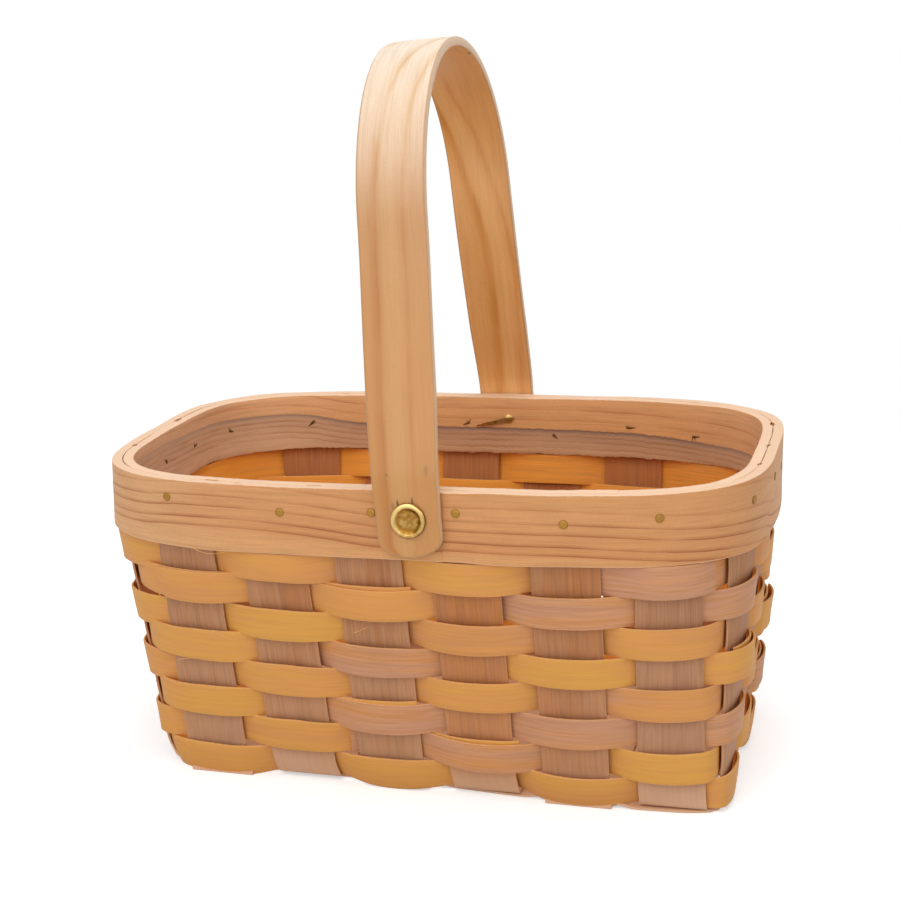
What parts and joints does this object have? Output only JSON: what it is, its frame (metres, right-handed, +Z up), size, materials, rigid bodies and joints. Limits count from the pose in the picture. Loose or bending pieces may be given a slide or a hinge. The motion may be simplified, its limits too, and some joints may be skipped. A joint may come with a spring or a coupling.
{
  "type": "basket",
  "caption": "Small rectangular splint basket woven from flat veneer strips, with a two-layer bent wooden rim band and a bent wooden handle that swings on brass rivets.",
  "frame": {"origin": "on the surface the basket stands on, under the middle of the rim", "axes": "+Z up; +X along the basket's length, to the right as seen from its front; the front is towards -Y"},
  "size_m": [0.2286, 0.1648, 0.2479],
  "materials": {
    "band_wood": "bare sawn wood with brown grain lines",
    "handle_wood": "bare bent wood, lightly sanded",
    "stake_veneer": "peeled veneer, pinkish brown, unfinished",
    "weaver_veneer": "peeled veneer, yellow ochre, unfinished",
    "brass": "brass-plated steel, slightly dull"
  },
  "bodies": {
    "basket": {"outer_rim_band": "band_wood", "inner_rim_band": "band_wood", "cross_strip_1": "stake_veneer", "cross_strip_2": "stake_veneer", "cross_strip_3": "stake_veneer", "cross_strip_4": "stake_veneer", "cross_strip_5": "stake_veneer", "cross_strip_6": "stake_veneer", "long_strip_1": "stake_veneer", "long_strip_2": "stake_veneer", "long_strip_3": "stake_veneer", "long_strip_4": "stake_veneer", "weaver_row_1": "weaver_veneer", "weaver_row_2": "weaver_veneer", "weaver_row_3": "weaver_veneer", "weaver_row_4": "weaver_veneer", "weaver_row_5": "weaver_veneer", "weaver_row_6": "weaver_veneer", "weaver_row_7": "weaver_veneer", "weaver_row_8": "weaver_veneer", "rivet_front": "brass", "rivet_back": "brass", "rim_nail_01": "brass", "rim_nail_02": "brass", "rim_nail_03": "brass", "rim_nail_04": "brass", "rim_nail_05": "brass", "rim_nail_06": "brass", "rim_nail_07": "brass", "rim_nail_08": "brass", "rim_nail_09": "brass", "rim_nail_10": "brass", "rim_nail_11": "brass", "rim_nail_12": "brass", "rim_nail_13": "brass", "rim_nail_14": "brass", "rim_nail_15": "brass", "rim_nail_16": "brass", "rim_nail_17": "brass", "rim_nail_18": "brass", "rim_nail_19": "brass", "rim_nail_20": "brass"},
    "handle": {"handle": "handle_wood"}
  },
  "joints": [
    {"name": "handle_swing", "type": "hinge", "parent": "basket", "child": "handle", "pos_m": [0.0052, 0, 0.1009], "axis": [0, 1, 0], "range_deg": [-28, 39]}
  ]
}
